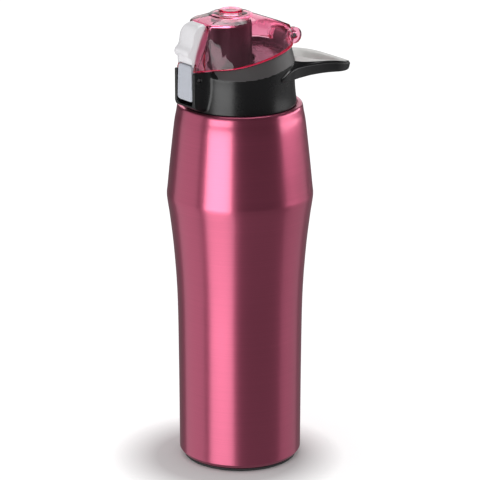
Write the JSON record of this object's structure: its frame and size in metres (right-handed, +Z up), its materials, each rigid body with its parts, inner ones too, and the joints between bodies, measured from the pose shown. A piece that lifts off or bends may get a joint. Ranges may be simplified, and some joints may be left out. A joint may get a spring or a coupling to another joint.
{
  "type": "water bottle",
  "caption": "Double-walled metal sports bottle with a screw cap, a clear flip lid with a thumb latch, a push-button release, a drinking spout and a finger loop.",
  "frame": {"origin": "on the bottle's axis, at the surface that it stands on", "axes": "+Z up along the bottle's axis, -Y towards the latch and the button, +Y towards the hinge and the finger loop"},
  "size_m": [0.0854, 0.1171, 0.2721],
  "materials": {
    "painted_steel": "translucent pink lacquer over brushed steel",
    "steel": "plain stainless steel",
    "black_rubber": "matte",
    "black_plastic": "satin black",
    "natural_plastic": "moulded, dark grey",
    "silicone": "matte, translucent white",
    "white_rubber": "soft, off-white",
    "tinted_plastic": "clear pink, polished",
    "white_plastic": "satin white",
    "grey_plastic": "fine grained, light grey"
  },
  "bodies": {
    "bottle": {"outer_shell": "painted_steel", "inner_flask": "steel", "base_cup": "painted_steel", "vacuum_getter": "steel", "foot_pad": "black_rubber"},
    "seal": {"neck_seal": "silicone"},
    "cap": {"collar": "black_plastic", "threaded_insert": "natural_plastic", "carry_loop": "black_plastic", "loop_liner": "white_rubber", "spout": "black_plastic", "spout_o_ring": "silicone", "hinge_pin": "steel", "hinge_spring": "steel", "button_pin": "steel", "button_spring": "steel"},
    "lid": {"flip_lid": "tinted_plastic", "lid_seal": "silicone", "thumb_latch": "white_plastic"},
    "button": {"release_button": "grey_plastic"}
  },
  "joints": [
    {"name": "cap_lift", "type": "slide", "parent": "bottle", "child": "seal", "axis": [0, 0, 1], "range_m": [0, 0.005]},
    {"name": "cap_turn", "type": "hinge", "parent": "seal", "child": "cap", "pos_m": [0, 0, 0.225], "axis": [0, 0, 1], "range_deg": [0, 450]},
    {"name": "lid_hinge", "type": "hinge", "parent": "cap", "child": "lid", "pos_m": [0, 0.032, 0.253], "axis": [-1, 0, 0], "range_deg": [0, 120]},
    {"name": "button_press", "type": "hinge", "parent": "cap", "child": "button", "pos_m": [0, -0.0356, 0.2363], "axis": [1, 0, 0], "range_deg": [0, 6], "stiffness_Nm_per_rad": 0.2, "springref_deg": -5.73, "deforming": ["button_spring"]}
  ],
  "couplings": [
    {"joint": "cap_turn", "follows": "cap_lift", "rad_per_m": 1570.8}
  ]
}
